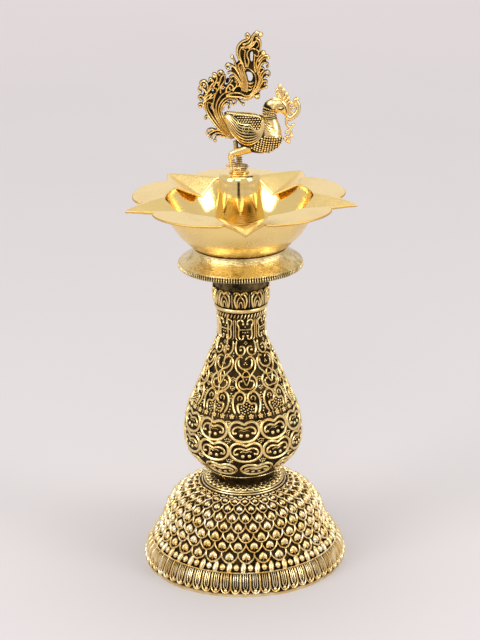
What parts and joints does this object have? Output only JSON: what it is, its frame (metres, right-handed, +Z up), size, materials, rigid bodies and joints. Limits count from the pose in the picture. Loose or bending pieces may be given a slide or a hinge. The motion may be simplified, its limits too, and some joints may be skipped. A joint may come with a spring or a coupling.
{
  "type": "standing oil lamp",
  "caption": "Standing brass oil lamp with a domed foot, vase-shaped stem, star-rimmed oil bowl with wick spouts and a peacock finial, which unscrew from each other for cleaning.",
  "frame": {"origin": "centre of the foot's flat ring, on the surface that the lamp stands on", "axes": "+Z up along the lamp's axis, -Y towards the lamp's front spout, +X the way that the peacock looks"},
  "size_m": [0.1587, 0.1593, 0.388],
  "materials": {
    "antique_brass": "cast relief, black patina in the hollows and rubbed bright on the crests",
    "polished_brass": "turned and buffed to a soft mirror",
    "brushed_brass": "spun, with fine turning lines and a milled edge",
    "plain_brass": "as turned, hidden inside"
  },
  "bodies": {
    "base": {"base_shell": "antique_brass", "base_seat_ring": "polished_brass", "base_boss": "plain_brass"},
    "stem_screw": {"stem_stud": "plain_brass"},
    "stem": {"vase_left_half": "antique_brass", "vase_right_half": "antique_brass", "vase_foot_plug": "antique_brass", "vase_top_bush": "antique_brass"},
    "bowl_screw": {"bowl_stud": "plain_brass"},
    "bowl": {"oil_bowl": "polished_brass", "drip_skirt": "brushed_brass", "bowl_boss": "antique_brass", "centre_post": "polished_brass", "post_boss": "plain_brass"},
    "finial_screw": {"finial_stud": "plain_brass"},
    "finial": {"finial_pedestal": "polished_brass", "peacock_legs": "antique_brass", "peacock_body": "antique_brass", "peacock_tail": "antique_brass", "peacock_crest": "antique_brass", "beak_vine": "antique_brass"}
  },
  "joints": [
    {"name": "stem_lift", "type": "slide", "parent": "base", "child": "stem_screw", "axis": [0, 0, 1], "range_m": [0, 0.012]},
    {"name": "stem_turn", "type": "hinge", "parent": "stem_screw", "child": "stem", "pos_m": [0, 0, 0], "axis": [0, 0, 1], "range_deg": [0, 2880]},
    {"name": "bowl_lift", "type": "slide", "parent": "stem", "child": "bowl_screw", "axis": [0, 0, 1], "range_m": [0, 0.012]},
    {"name": "bowl_turn", "type": "hinge", "parent": "bowl_screw", "child": "bowl", "pos_m": [0, 0, 0], "axis": [0, 0, 1], "range_deg": [0, 2880]},
    {"name": "finial_lift", "type": "slide", "parent": "bowl", "child": "finial_screw", "axis": [0, 0, 1], "range_m": [0, 0.008]},
    {"name": "finial_turn", "type": "hinge", "parent": "finial_screw", "child": "finial", "pos_m": [0, 0, 0], "axis": [0, 0, 1], "range_deg": [0, 2880]}
  ],
  "couplings": [
    {"joint": "stem_lift", "follows": "stem_turn", "m_per_rad": 0.00023873},
    {"joint": "bowl_lift", "follows": "bowl_turn", "m_per_rad": 0.00023873},
    {"joint": "finial_lift", "follows": "finial_turn", "m_per_rad": 0.00015915}
  ]
}
